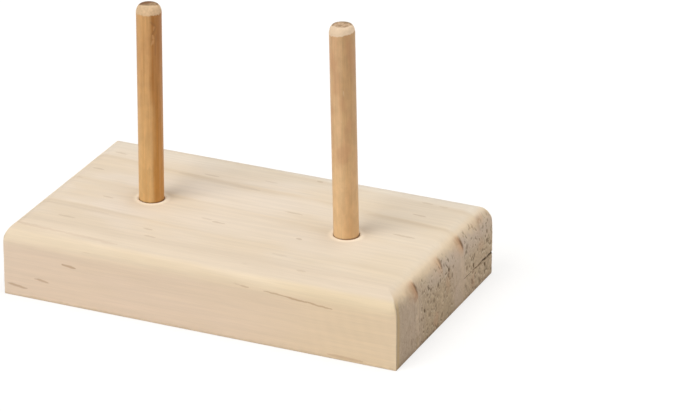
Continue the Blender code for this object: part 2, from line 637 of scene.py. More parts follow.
def reliefOf(points):
    # how far each point of the outer surface moves, below 0 for inwards
    x, y, z = points.T
    late = np.interp(ringPlace(x, y, z), *zip(*ringStops(True)))
    starts, whole = endGrain["starts"]
    onEnd = smoothStep(abs(x), block["length"] / 2 - starts, block["length"] / 2 - whole)
    high = endGrain["lowShare"] + (1.0 - endGrain["lowShare"]) * smoothStep(z, *endGrain["low"])
    stand = np.where(x > 0.0, endGrain["stand"], endGrain["standLeft"])
    move = -stand * high * onEnd * (1.0 - late)
    for index, (along, across, up) in enumerate(points):
        if onEnd[index] > 0.0:
            place = (along * endGrain["gritAlong"], across, up)
            grit = sum(share * fractal(place, size, seed=seed) for size, share, seed in endGrain["grit"])
            move[index] += onEnd[index] * endGrain["roughness"] * (grit - 1.0)
        else:
            place = (along * longGrain["waveAlong"], across, up)
            move[index] += longGrain["wave"] * (fractal(place, longGrain["waveSize"], layers=2) - 1.0)
    rightEnd = (x > 0.0) * onEnd
    for pitY, pitZ, radius, dark in pits:
        away = np.hypot(y - pitY, (z - pitZ) * endGrain["pitSquat"])
        move -= rightEnd * endGrain["pitDepth"] * dark * radius * np.exp(-((away / radius) ** 2))
    move -= rightEnd * endGrain["crackDepth"] * crackRelief(y, z)
    return np.minimum(move, 0.0)


def holeCentre(hole):
    return hole["x"] + holeFit["shift"][0], hole["y"] + holeFit["shift"][1]


def holeMesh(hole, ring, points, faces):
    # fills the window left in the top face with rows that close in on a drilled hole
    centre = np.array(holeCentre(hole))
    top, deep = block["thickness"], block["thickness"] - hole["floor"]
    radius, mouth, uneven = holeFit["radius"], holeFit["mouth"], holeFit["burrUneven"]
    corners = np.array([points[index] for index in ring])
    angles = np.arctan2(corners[:, 1] - centre[1], corners[:, 0] - centre[0])
    unit = np.column_stack((np.cos(angles), np.sin(angles)))
    slip = math.tan(math.radians(hole["lean"]))
    levels = []
    for step in range(1, holeFit["rings"] + 1):
        share = (step / holeFit["rings"]) ** holeFit["closing"]
        flat = corners[:, :2] * (1.0 - share) + (centre + unit * (radius + mouth)) * share
        fuzz = holeFit["burr"] * math.sin(math.pi * min(1.0, share ** holeFit["burrPower"]))
        rough = [fractal((*place, 0.0), uneven["size"], seed=uneven["seed"]) for place in flat]
        rough = 1.0 + uneven["share"] * np.array(rough)
        levels.append((flat, corners[:, 2] * (1.0 - share) + top * share + fuzz * rough))
    for turn in holeFit["mouthTurns"]:
        out = radius + mouth * (1.0 - math.sin(math.radians(turn)))
        drop = mouth * (1.0 - math.cos(math.radians(turn)))
        levels.append((centre + unit * out, np.full(len(ring), top - drop)))
    for step in range(1, holeFit["wallSteps"] + 1):
        drop = mouth + (deep - mouth) * step / holeFit["wallSteps"]
        levels.append((centre + np.array((drop * slip, 0.0)) + unit * radius, np.full(len(ring), top - drop)))
    before = ring
    for flat, height in levels:
        after = addRow(points, np.column_stack((flat, height)))
        bridge(faces, before, after)
        before = after
    lowest = deep + holeFit["point"]
    closeRow(points, faces, before, (centre[0] + lowest * slip, centre[1], hole["floor"] - holeFit["point"]))


def roundedTop(linesX, linesY):
    # points of the top face and its four rounded edges, and which way each faces
    (flatX, sideX, turnX), (flatY, sideY, turnY) = linesX, linesY
    steps, rounding = block["roundingSteps"], block["rounding"]
    turn = np.maximum(turnX[:, None], turnY[None, :])
    angle = turn / steps * math.pi / 2
    reach = rounding * np.sin(angle) / np.maximum(turn, 1)
    x = flatX[:, None] + (sideX * turnX)[:, None] * reach
    y = flatY[None, :] + (sideY * turnY)[None, :] * reach
    z = block["thickness"] - rounding + rounding * np.cos(angle)
    onEnd = turnX[:, None] >= np.maximum(turnY[None, :], 1)
    outX = np.where(onEnd, sideX[:, None] * np.sin(angle), 0.0)
    outY = np.where(onEnd, 0.0, sideY[None, :] * np.sin(angle))
    # sand the mitred corners back a little, towards the lines beside them
    for i in range(1, len(flatX) - 1):
        for j in range(1, len(flatY) - 1):
            if turnX[i] == turnY[j] and 0 < turnX[i] < steps:
                besideX, besideY = i - int(sideX[i]), j - int(sideY[j])
                z[i, j] -= block["creaseWear"] * ((z[besideX, j] + z[i, besideY]) / 2 - z[i, j])
    points = np.column_stack((x.ravel(), y.ravel(), z.ravel()))
    outward = np.column_stack((outX.ravel(), outY.ravel(), np.cos(angle).ravel()))
    return list(points), list(outward)


def topFaces(plan, turnX, turnY, windows):
    # one cell at a time, leaving a window at each hole, and split along the mitres
    faces = []
    for i in range(len(turnX) - 1):
        for j in range(len(turnY) - 1):
            if any(a <= i < b and c <= j < d for a, b, c, d in windows):
                continue
            corners = [(i, j), (i + 1, j), (i + 1, j + 1), (i, j + 1)]
            crease = [turnX[a] == turnY[b] for a, b in corners]
            inCorner = max(turnX[i], turnX[i + 1]) > 0 and max(turnY[j], turnY[j + 1]) > 0
            ids = [int(plan[place]) for place in corners]
            if inCorner and crease[0] and crease[2]:
                faces += [(ids[0], ids[1], ids[2]), (ids[0], ids[2], ids[3])]
            elif inCorner and crease[1] and crease[3]:
                faces += [(ids[1], ids[2], ids[3]), (ids[1], ids[3], ids[0])]
            else:
                faces.append(tuple(ids))
    return faces


def loopRound(plan, firstI, lastI, firstJ, lastJ):
    # numbers of the points round a rectangle of the grid
    places = [(i, firstJ) for i in range(firstI, lastI)] + [(lastI, j) for j in range(firstJ, lastJ)]
    places += [(i, lastJ) for i in range(lastI, firstI, -1)] + [(firstI, j) for j in range(lastJ, firstJ, -1)]
    return [int(plan[place]) for place in places]


def wallRows():
    # height of each row of the walls, then rows that turn in under the block: (height, inset) each
    crackZ, worn, wornSteps = endGrain["crackLevel"], block["wornEdge"], block["wornSteps"]
    above, below = block["crackBand"]
    heights, level = [], block["thickness"] - block["rounding"]
    for low, cell in (
            (crackZ + above, block["cell"]), (crackZ - below, block["crackCell"]),
            (worn, block["cell"]), (0.0, worn / wornSteps)):
        count = round((level - low) / cell)
        heights += [level + (low - level) * step / count for step in range(1, count + 1)]
        level = low
    return [(height, 0.0) for height in heights] + [
        (0.0, worn * step / wornSteps) for step in range(1, wornSteps + 1)]


def undersideFaces(points, row, lastX, lastY, inside):
    # one long face for each step along the length, and one at each end
    front, back = row[:lastX + 1], row[lastX + lastY:2 * lastX + lastY + 1][::-1]
    inFrom = next(i for i in range(lastX) if points[front[i]][0] > -inside)
    inTo = next(i for i in range(lastX, 0, -1) if points[front[i]][0] < inside)
    faces = [(front[i], back[i], back[i + 1], front[i + 1]) for i in range(inFrom, inTo)]
    rightSide = row[lastX:lastX + lastY + 1]
    leftSide = row[2 * lastX + lastY:] + row[:1]
    faces.append((*front[inTo:lastX], *rightSide, *back[inTo:lastX][::-1]))
    faces.append((*back[1:inFrom + 1][::-1], *leftSide, *front[1:inFrom + 1]))
    return faces


def buildBlock(material):
    half = np.array((block["length"] / 2, block["depth"] / 2))
    window = holeFit["window"]
    stopsX = []
    for hole in holes.values():
        stopsX += [(hole["x"] - window, block["longCell"]), (hole["x"] + window, holeFit["windowCell"])]
    stopsX.append((half[0] - block["rounding"] - block["endStrip"], block["longCell"]))
    stopsY = [(holes["left"]["y"] + side * window, block["cell"]) for side in (-1, 1)]
    linesX, linesY = gridLines(half[0], stopsX), gridLines(half[1], stopsY)
    points, outward = roundedTop(linesX, linesY)
    countX, countY = linesX.shape[1], linesY.shape[1]
    plan = np.arange(countX * countY).reshape(countX, countY)
    windows = []
    for hole in holes.values():
        # the grid lines that lie nearest to the four sides of the window
        windows.append([
            int(np.argmin(abs(lines[0] - hole[axis] - side * window) + block["length"] * abs(lines[1])))
            for axis, lines in (("x", linesX), ("y", linesY)) for side in (-1, 1)])
    faces = topFaces(plan, linesX[2], linesY[2], windows)
    # walls that hang from the rim of the rounding
    before = loopRound(plan, 0, countX - 1, 0, countY - 1)
    rimPoints, rimOut = np.array(points)[before], np.array(outward)[before]
    for height, inset in wallRows():
        flat = np.clip(rimPoints[:, :2], inset - half, half - inset)
        after = addRow(points, np.column_stack((flat, np.full(len(before), height))))
        outward.extend(rimOut if inset == 0.0 else rimOut * 0.0)
        bridge(faces, before, after)
        before = after
    inside = half[0] - block["wornEdge"] - block["hair"]
    faces += undersideFaces(points, before, countX - 1, countY - 1, inside)
    # worn edges, relief, then the holes
    surface = wearRound(np.array(points))
    points = list(surface + np.array(outward) * reliefOf(surface)[:, None])
    for hole, (a, b, c, d) in zip(holes.values(), windows):
        holeMesh(hole, loopRound(plan, a, b, c, d), points, faces)
    return makeObject("pineBlock", points, faces, material, block["sharpFrom"])


pine = {
    # long grain
    "cream": srgb(233, 219, 202),
    "creamYellow": srgb(228, 211, 188),
    "creamRight": srgb(225, 209, 183),
    "farEdge": srgb(229, 218, 202),
    "shoulderShade": srgb(222, 205, 183),  # upper part of the rounded front edge, darker as painted shade
    "crestHighlight": srgb(236, 218, 192),  # its outer part, paler as a painted highlight
    "crestHighlightRight": srgb(229, 209, 177),
    "band": srgb(214, 192, 160),
    "bandShare": 0.5,
    "side": srgb(228, 206, 184),
    "sideRight": srgb(225, 202, 171),
    "rimHighlight": srgb(252, 238, 216),  # painted highlight in a ring round the mouth of each hole
    "dash": srgb(168, 128, 90),
    "dashShare": 0.65,
    "canalShare": 0.3,  # strength of the scattered dashes beside the placed ones
    "topDash": srgb(170, 143, 110),
    "topDashShare": 0.55,
    "topDashHalfWidth": 0.38,
    "topDashSlant": 0.08,  # each dash slips this far forward from its middle to its end
    "bottomEdge": srgb(206, 182, 148),
    "dullMiddle": (-4.0, -13.0),  # middle of a yellower patch in the top
    "fibres": {"Width": 1.1, "Length": 24.0},
    "canals": {"Share": 0.04},
    "fibreTone": (0.055, 0.036, 0.946),  # darkening by streaks and by fine fibres, and the tone without them
    "ripplePitch": 3.1,  # from one planer mark to the next
    "rippleLean": 0.6,
    "rippleDrift": 9.0,
    # end grain
    "endPink": srgb(188, 168, 148),
    "endOlive": srgb(176, 155, 124),
    "endDark": srgb(150, 127, 102),
    "endTop": srgb(198, 180, 164),  # the paler upper part of an end
    "oliveAcross": (  # across an end, from 0 at the front to 1 at the back: share of olive
        (0.02, 0.3), (0.20, 0.1), (0.30, 0.7), (0.55, 0.75), (0.62, 0.0), (0.69, 0.1), (0.71, 0.5),
        (0.95, 0.6),
    ),
    "tornAcross": (  # and how torn the grain is
        (0.18, 0.08), (0.26, 0.9), (0.52, 0.9), (0.58, 0.55), (0.61, 0.03), (0.69, 0.05), (0.71, 0.9),
        (0.95, 0.9),
    ),
    "acrossDrift": (0.12, 0.44),  # how far those patches wander, and where the middle of an end lies
    "gritDark": (-0.20, 0.95),  # darkest grit: its change where torn, and without it
    "gritLight": 1.09,
    "mottleTone": (0.26, -0.012, 0.10),  # endDark by mottle and by height, and at the foot
    "cornerStripe": srgb(184, 158, 116),  # rubbed wood beside the front corner of an end
    "nearEnd": srgb(233, 206, 168),  # warmer wood where the end grain starts
    "lateOnEnd": srgb(200, 150, 108),
    # the dark hard edge of latewood on an end, darkened further as painted shade of the step the latewood
    # makes
    "lateEdgeAndStepShade": srgb(106, 72, 36),
    "raggedStart": (0.8, -0.4),  # how unevenly the end grain starts
    "lateClimbs": -0.5,  # it starts later on latewood
    "softClimbs": 0.45,  # and sooner on the soft wood past it
    "pores": {"Size": 0.5},
    # torn grain with painted shade and painted highlights on its specks and tears, stains, and the crack as
    # painted shade, all on the flat of an end
    "endBrown": srgb(150, 110, 80),
    "endRust": srgb(188, 144, 112),
    # dark of pits, specks, tears and pores: darker torn wood, with painted shade on the dark side of the
    # pits, specks and tears
    "tornDarkAndShade": srgb(85, 63, 32),
    "pitWider": 1.25,  # the dark of a pit reaches past its shape
    # painted highlight on the lips of torn specks and tears
    "tornHighlight": srgb(224, 208, 182),
    # painted shade in the drying crack and in the check across it
    "crack": srgb(60, 43, 14),
    "squat": 0.72,  # below 1, spots are taller than wide
    "specks": {"Half Length": 0.75, "Half Width": 0.30, "Crowding": 0.28, "Share": 0.4},
    "speckHighlightOffset": (0.42, 0.26, 0.0),  # the painted highlight on a speck's lip lies this far from the speck
    "speckAlong": 0.1,  # below 1, specks run on along the grain
    "tear": {"size": 1.1, "rough": 0.55, "stretch": (4.0, 1.0, 1.0)},
    # the second place moves the same noise a little, for the painted highlight on the tears' lips
    "tearAt": (6.0, 2.0, 9.0),
    "tearHighlightAt": (6.0, 2.1, 9.45),
    "tornShares": {"lip": 0.42, "tears": 0.65, "pores": 0.35},
    "looseBy": (0.35, 0.35, 0.35),  # how far marks on an end wander
    "raggedBy": (1.4, 0.525, 0.35),  # and those on the long faces
    "stainDrift": ((5.0, -2.5), (3.0, -1.5)),
    # surface
    "roughness": (0.08, 0.56),  # change by fine fibres, and without them
    "endRougher": 0.25,
    "shine": 0.3,
    "bumps": {"mottle": 1.5, "fine": 0.2, "tears": -2.5},
    "bump": (0.06, 0.6),  # distance and strength
}

# where each part of the pine's look comes and goes: start, end, and the shares there if not 0 and 1
pineFades = {
    # past the mitre line, towards an end
    "endSide": (-0.12, 0.12), "stripeInner": (0.25, 0.55), "stripeOuter": (1.3, 2.0, 0.75, 0.0),
    # from an end, below 0 for inside the block
    "nearEnd": (-2.2, -1.0), "warming": (-3.2, -1.6, 0.0, 0.45), "edgeIn": (-1.7, -0.6),
    # down from the top
    "crestHighlight": (1.1, 2.3), "onSide": (2.9, 6.4), "endTopDown": (9.0, 3.5, 0.0, 0.75),
    "lateDown": (6.5, 3.0, 0.028, 0.7), "edgeDown": (4.9, 3.2, 0.032, 0.8),
    # up from the underside
    "bottom": (0.7, 1.3, 0.6, 0.0), "endFoot": (0.4, 1.6, 0.55, 0.0),
    # along the length
    "creamRight": (-5.0, 35.0, 0.0, 0.45), "crestHighlightRight": (5.0, 30.0), "sideRight": (0.0, 40.0),
    "calmRight": (0.0, 28.0), "rippleRight": (22.0, 31.0, 0.0, 0.010),
    "edgeLeft": (-1.0, 1.0, 0.6, 1.0), "tornLeft": (-1.0, 1.0, 0.45, 1.0),
    # across the depth
    "farEdge": (14.0, 24.0, 0.0, 0.8), "shoulderShade": (-18.0, -24.5), "calmFront": (8.0, 2.0, 0.0, 0.7),
    "endFrom": (-16.5, -19.5, -1.82, -1.6), "endTopBack": (-17.0, -4.0),
    "gritFront": (-17.5, -14.0, 0.93, 1.075), "gritMiddle": (3.5, 6.5, 1.0, 0.955),
    "gritBack": (9.5, 12.0, 1.0, 1.165),
    # away from the middle of the dull patch, and from the wall of a hole
    "dull": (8.0, 26.0, 0.5, 0.0), "rimInner": (-0.2, 0.0, 0.0, 0.75), "rimOuter": (0.4, 1.6, 1.0, 0.0),
    # by the noise itself
    "blotch": (0.35, 0.65), "latePatches": (0.25, 0.7, 0.35, 1.0), "rippleBlotch": (0.35, 0.6),
    "grit": (0.3, 0.7), "tears": (0.58, 0.68),
}
endWhole = -0.05  # the end grain is whole from this far inside an end

# dark dashes in the top face: centre x, centre y, half length, strength
topDashes = (
    (-16.2, 14.7, 1.8, 0.45), (-2.5, 16.9, 1.6, 0.35), (7.5, 21.6, 0.7, 0.6), (9.4, 3.4, 1.9, 0.5),
    (-3.8, -8.1, 1.6, 0.6), (-6.9, -7.3, 1.2, 0.35), (16.1, -8.6, 0.7, 0.75), (-32.2, -5.7, 1.2, 0.5),
    (-41.4, 7.6, 1.5, 0.5), (-35.8, -18.8, 2.0, 0.5), (-16.4, -17.6, 1.2, 0.6), (-14.4, -20.9, 1.4, 0.5),
    (23.1, -23.4, 1.1, 0.4), (10.4, -24.6, 1.0, 0.6), (35.3, 13.8, 1.6, 0.6), (36.5, 2.1, 2.6, 0.65),
    (34.4, 20.5, 1.3, 0.4), (38.4, 20.1, 1.0, 0.35), (-40.4, 17.6, 1.4, 0.45), (-43.4, 1.7, 1.1, 0.35),
    (15.6, -18.0, 1.7, 0.3),
)

# soft longer streaks in the top face: start, end, half width, strength
topStreaks = (
    ((-23.5, 13.0), (-3.0, 11.5), 1.0, 0.28),
    ((24.5, 9.9), (46.0, 8.6), 0.9, 0.17),
    ((-46.0, -13.3), (-28.0, -14.0), 0.6, 0.2),
)

# dark flecks and the line in the front, and a few flecks in the back: start, end, half width, strength
sideMarks = (
    ((-32.8, -27.5, 9.95), (-29.6, -27.5, 9.5), 0.34, 0.85),
    ((-39.5, -27.5, 5.15), (-36.1, -27.5, 4.75), 0.32, 0.75),
    ((-46.4, -27.5, 2.80), (-41.6, -27.5, 2.35), 0.36, 0.75),
    ((8.9, -27.4, 13.5), (10.6, -27.45, 13.25), 0.22, 0.3),
    ((10.4, -27.45, 13.25), (12.6, -27.47, 13.15), 0.24, 0.6),
    ((-46.0, -24.9, 16.95), (-33.0, -25.3, 16.72), 0.34, 0.26),
    ((-33.5, -25.3, 16.72), (-20.0, -25.7, 16.45), 0.34, 0.22),
    ((16.4, -27.5, 13.05), (21.6, -27.5, 12.72), 0.22, 0.7),
    ((21.0, -27.5, 12.72), (26.4, -27.5, 12.22), 0.25, 0.85),
    ((26.0, -27.5, 12.42), (32.2, -27.5, 11.75), 0.24, 0.8),
    ((31.3, -27.5, 0.95), (39.4, -27.5, 0.75), 0.36, 0.5),
    ((27.5, 27.5, 8.8), (31.0, 27.5, 9.1), 0.32, 0.7),
    ((-8.2, 27.5, 4.3), (-3.9, 27.5, 4.1), 0.30, 0.6),
    ((-36.8, 27.5, 11.2), (-34.1, 27.5, 11.4), 0.28, 0.6),
)


def pineMaterial():
    material, position = startMaterial("pineWood")
    x, y, z = split(position)
    ring = useGroup("rings", {"Position": position})
    fibres = useGroup("fibres", {"Position": position, **pine["fibres"]})
    canals = useGroup("canals", {"Position": position, **pine["canals"]})["Dashes"]
    pores = useGroup("pores", {"Position": position, **pine["pores"]})
    top = block["thickness"]

    def through(value, name):
        return fade(value, *pineFades[name])

    # masks by place: the end grain stops at the mitred corners, and starts partway down the rounding
    ragged = softNoise(position, size=1.6, detail=3.0)
    down = minus(top, z)
    farX, farY = calc("ABSOLUTE", x), calc("ABSOLUTE", y)
    past = minus(minus(farX, farY), (block["length"] - block["depth"]) / 2)
    endSide = through(past, "endSide")
    uneven, offset = pine["raggedStart"]
    reached = scaleAdd(ragged, uneven, minus(farX, block["length"] / 2 - offset))
    climbed = scaleAdd(ring["Late On End"], pine["lateClimbs"], reached)
    climbed = scaleAdd(ring["Soft"], pine["softClimbs"], climbed)
    onEnd = times(fade(climbed, through(y, "endFrom"), endWhole), endSide)
    nearEnd = times(through(reached, "nearEnd"), endSide)
    onSide = through(down, "onSide")

    # long grain: cream with blotches, and tan latewood
    blotch = softNoise(position, size=13.0, detail=3.0, stretch=(1.8, 1.0, 1.0))
    fromDull = calcVector("DISTANCE", position, (*pine["dullMiddle"], top))
    patchy = softNoise(position, size=5.0, stretch=(4.0, 1.0, 1.0), shift=(5.0, 3.0, 8.0))
    calm = times(through(x, "calmRight"), through(y, "calmFront"))
    band = times(ring["Late"], through(patchy, "latePatches"), minus(1.0, calm))
    colour = layColours(pine["cream"], [
        (through(blotch, "blotch"), pine["creamYellow"]),
        (through(x, "creamRight"), pine["creamRight"]),
        (through(fromDull, "dull"), pine["creamYellow"]),
        (through(y, "farEdge"), pine["farEdge"]),
        # painted shade on the upper part of the rounded front edge, and a painted highlight lower on the
        # rounded edges
        (through(y, "shoulderShade"), pine["shoulderShade"]),
        (through(down, "crestHighlight"), mixColour(through(x, "crestHighlightRight"), pine["crestHighlight"], pine["crestHighlightRight"])),
        (onSide, mixColour(through(x, "sideRight"), pine["side"], pine["sideRight"])),
        (times(band, pine["bandShare"]), pine["band"]),
    ])

    # fibres, and ripples left by the planer towards the right of the long sides
    byStreaks, byFine, plain = pine["fibreTone"]
    tone = scaleAdd(fibres["Fine"], byFine, scaleAdd(fibres["Streaks"], byStreaks, plain))
    beat = scaleAdd(z, pine["rippleLean"], times(blotch, pine["rippleDrift"]))
    beat = scaleAdd(x, 2.0 * math.pi / pine["ripplePitch"], beat)
    ripple = times(
        calc("SINE", beat), through(x, "rippleRight"), onSide, through(blotch, "rippleBlotch"))
    colour = shade(colour, plus(tone, ripple))
    colour = mixColour(through(plus(ragged, z), "bottom"), colour, pine["bottomEdge"])

    # painted highlights in rings round the mouths of the two holes
    for hole in holes.values():
        away = calcVector("DISTANCE", position, (*holeCentre(hole), top))
        away = minus(away, holeFit["radius"])
        rimHighlight = times(through(away, "rimInner"), through(away, "rimOuter"))
        colour = mixColour(rimHighlight, colour, pine["rimHighlight"])

    # dashes, streaks and flecks in the long faces, and scattered resin canals
    wander = join(ragged, softNoise(position, size=1.1, shift=(9.0, 2.0, 5.0)), ragged)
    wander = calcVector("SUBTRACT", wander, (0.5, 0.5, 0.5))
    nearby = calcVector("MULTIPLY_ADD", wander, pine["raggedBy"], position)
    width, slant = pine["topDashHalfWidth"], pine["topDashSlant"]
    onTop = [((cx - half, cy + slant, top), (cx + half, cy - slant, top), width, strength)
             for cx, cy, half, strength in topDashes]
    onTop += [((*start, top), (*end, top), *rest) for start, end, *rest in topStreaks]
    onTop = times(drawStrokes(nearby, onTop), pine["topDashShare"])
    marks = strongest(drawStrokes(nearby, sideMarks), times(canals, pine["canalShare"]))
    marks = times(marks, minus(1.0, onEnd), pine["dashShare"])
    colour = layColours(colour, [(onTop, pine["topDash"]), (marks, pine["dash"])])

    # end grain: pinkish and olive patches follow the rings
    tint = softNoise(position, size=3.0, detail=3.0, stretch=(3.0, 1.0, 1.5), shift=(1.0, 4.0, 2.0))
    drift, middle = pine["acrossDrift"]
    acrossEnd = scaleAdd(tint, drift, scaleAdd(y, 1.0 / block["depth"], middle))
    rougher = ramp(acrossEnd, pine["tornAcross"])
    grit = softNoise(
        position, size=0.6, detail=3.0, rough=0.7, stretch=(4.0, 1.0, 1.2), shift=(2.0, 8.0, 5.0))
    grit = fade(grit, *pineFades["grit"], scaleAdd(rougher, *pine["gritDark"]), pine["gritLight"])
    grit = times(grit, *(through(y, name) for name in ("gritFront", "gritMiddle", "gritBack")))
    byMottle, byHeight, plain = pine["mottleTone"]
    darker = scaleAdd(pores["Mottle"], byMottle, scaleAdd(z, byHeight, plain))
    stripe = times(through(past, "stripeInner"), through(past, "stripeOuter"), calc("LESS_THAN", y, 0.0))
    endColour = mixColour(ramp(acrossEnd, pine["oliveAcross"]), pine["endPink"], pine["endOlive"])
    endColour = layColours(shade(endColour, grit), [
        (strongest(darker, through(z, "endFoot")), pine["endDark"]),
        (times(through(down, "endTopDown"), through(y, "endTopBack")), pine["endTop"]),
        (stripe, pine["cornerStripe"]),
    ])
    # latewood edges on an end: dark wood, and painted shade of the step beside each one
    edge = times(
        ring["Edge"], endSide, through(down, "edgeDown"), through(reached, "edgeIn"), through(x, "edgeLeft"))
    colour = layColours(colour, [
        (times(through(reached, "warming"), endSide), pine["nearEnd"]),
        (onEnd, endColour),
        (times(ring["Late On End"], nearEnd, through(down, "lateDown")), pine["lateOnEnd"]),
        (edge, pine["lateEdgeAndStepShade"]),
    ])

    # soft stains; torn specks, tears and pits, darker wood with painted shade, the specks and tears with
    # painted highlights on their lips; and the drying crack as painted shade, all drawn on the flat of an end
    looseY, looseZ = split(calcVector("MULTIPLY_ADD", wander, pine["looseBy"], position))[1:]
    onFlat = join(0.0, looseY, looseZ)
    onRight = calc("GREATER_THAN", x, 0.0)
    rightEnd = times(onEnd, onRight)
    squat, shares = pine["squat"], pine["tornShares"]
    squatFlat = calcVector("MULTIPLY", onFlat, (1.0, 1.0, squat))

    def spotsAt(flat, places, wider=1.0):
        return drawSpots(flat, [
            ((0.0, across, up * squat), radius * wider, strength) for across, up, radius, strength in places])

    byTint, byRagged = pine["stainDrift"]
    drifted = join(0.0, scaleAdd(tint, *byTint), scaleAdd(ragged, *byRagged))
    drifted = calcVector("ADD", squatFlat, drifted)
    for stain, places in stains.items():
        colour = mixColour(times(spotsAt(drifted, places), nearEnd, onRight), colour, pine[stain])
    torn = times(rougher, onEnd, through(x, "tornLeft"))
    upright = join(looseZ, looseY, times(x, pine["speckAlong"]))
    specks, speckHighlights = (
        useGroup("canals", {"Position": place, **pine["specks"]})["Dashes"]
        for place in (upright, calcVector("ADD", upright, pine["speckHighlightOffset"])))
    tears, tearHighlights = (
        through(softNoise(position, shift=pine[place], **pine["tear"]), "tears")
        for place in ("tearAt", "tearHighlightAt"))
    # painted highlights on the lips of the specks and tears, beside their dark sides
    tornHighlights = times(strongest(speckHighlights, tearHighlights), torn, shares["lip"])
    # darker torn wood together with painted shade in the pits, specks and tears
    dark = strongest(
        times(spotsAt(squatFlat, pits, pine["pitWider"]), rightEnd), times(specks, torn),
        times(tears, torn, shares["tears"]), times(pores["Pores"], onEnd, shares["pores"]))
    # the crack and the check are drawn dark as painted shade in their gaps
    path, check = endGrain["crack"], endGrain["check"]
    crackShade = [(*ends, width, 1.0) for *ends, width in zip(path, path[1:], endGrain["crackWidths"])]
    crackShade += [(*ends, endGrain["checkWidth"], endGrain["checkShare"]) for ends in zip(check, check[1:])]
    crackShade = drawStrokes(onFlat, [((0.0, *start), (0.0, *end), *rest) for start, end, *rest in crackShade])
    colour = layColours(colour, [
        (tornHighlights, pine["tornHighlight"]), (dark, pine["tornDarkAndShade"]), (times(crackShade, rightEnd), pine["crack"])])

    bumps = pine["bumps"]
    rough = scaleAdd(onEnd, pine["endRougher"], scaleAdd(fibres["Fine"], *pine["roughness"]))
    height = scaleAdd(fibres["Fine"], bumps["fine"], times(pores["Mottle"], onEnd, bumps["mottle"]))
    height = scaleAdd(times(tears, rightEnd), bumps["tears"], height)
    finishSurface(colour, rough, pine["shine"], height, *pine["bump"])
    return material


# The dowel pegs

dowel = {
    "radius": 2.85,
    "length": 59.97,
    "sides": 72,
    "sharpFrom": 38.0,  # edges that turn by more degrees than this stay crisp
    "ringGap": 1.0,  # mesh rings up the plain part
    "seatGap": 0.3,  # glue under the peg
    "tipSteps": (  # from the flat end: share of the way out to the full radius, and depth
        (0.0, 0.0), (0.25, 0.15), (0.52, 0.41), (0.73, 0.73), (0.87, 1.08), (0.96, 1.42), (1.0, 1.80)),
    "discSteps": ((0.33, 0.85), (0.66, 0.5), (0.88, 0.15)),  # in the flat end: share of its radius, and rise
    "dome": -0.05,  # how far the middle of the end stands out, or in below 0
    # faint lengthwise flats left on the dowel, and the unevenness of its tip
    "flats": {"depth": 0.012, "turn": 1.5, "along": 0.02, "layers": 3, "seed": 0.0},
    "sanding": {"depth": 0.05, "turn": 0.8, "along": 0.4, "layers": 2, "seed": 4.0},
    "grainShift": 10.0,  # how far the fibres of one dowel lie from those of the next, for each step of seed
    "bounceReach": 38.0,  # painted bounce light from the block brightens the wood over this height above it
    "fibres": {"Width": 0.75, "Length": 26.0},
    "dashes": {"Half Length": 0.9, "Half Width": 0.07, "Share": 0.16},
    "pores": {"Size": 0.28},
    "splitWander": 1.1,  # how far the border of the darker side wanders
    "darkness": (0.8, 0.35, -0.1),  # by the darker side and by streaks, and elsewhere
    "fineTone": (0.10, 0.94),
    "dashShare": 0.35,
    "figureWander": 0.3,
    "glueUneven": 0.06,
    "rimUneven": 0.5,
    "tipShare": 0.9,
    "poreShare": 0.3,
    "roughness": (0.10, 0.44),  # change by fine fibres, and without them
    "tipRougher": 0.2,
    "shine": 0.4,
    "bumps": {"fine": 0.5, "dashes": -0.6, "pores": -1.0},
    "bump": (0.03, 0.5),  # distance and strength
}

# where each part of a dowel's look comes and goes: start, end, and the shares there if not 0 and 1
dowelFades = {
    "mottle": (0.32, 0.68, 0.94, 1.05), "blush": (0.45, 0.65), "blushFoot": (0.4, 1.0, 1.0, 0.25),
    "glue": (0.08, 0.30, 0.6, 0.0), "onTip": (-0.12, 0.12), "tipTone": (0.3, 0.7), "onDisc": (0.16, 0.04),
    "crescent": (0.25, 1.0), "cut": (-0.4, -0.1, 0.0, 0.4), "cutBack": (0.3, -0.3),
    "lip": (-0.5, 0.0), "lipFront": (0.0, 0.9), "rubbed": (0.0, 0.6),
}

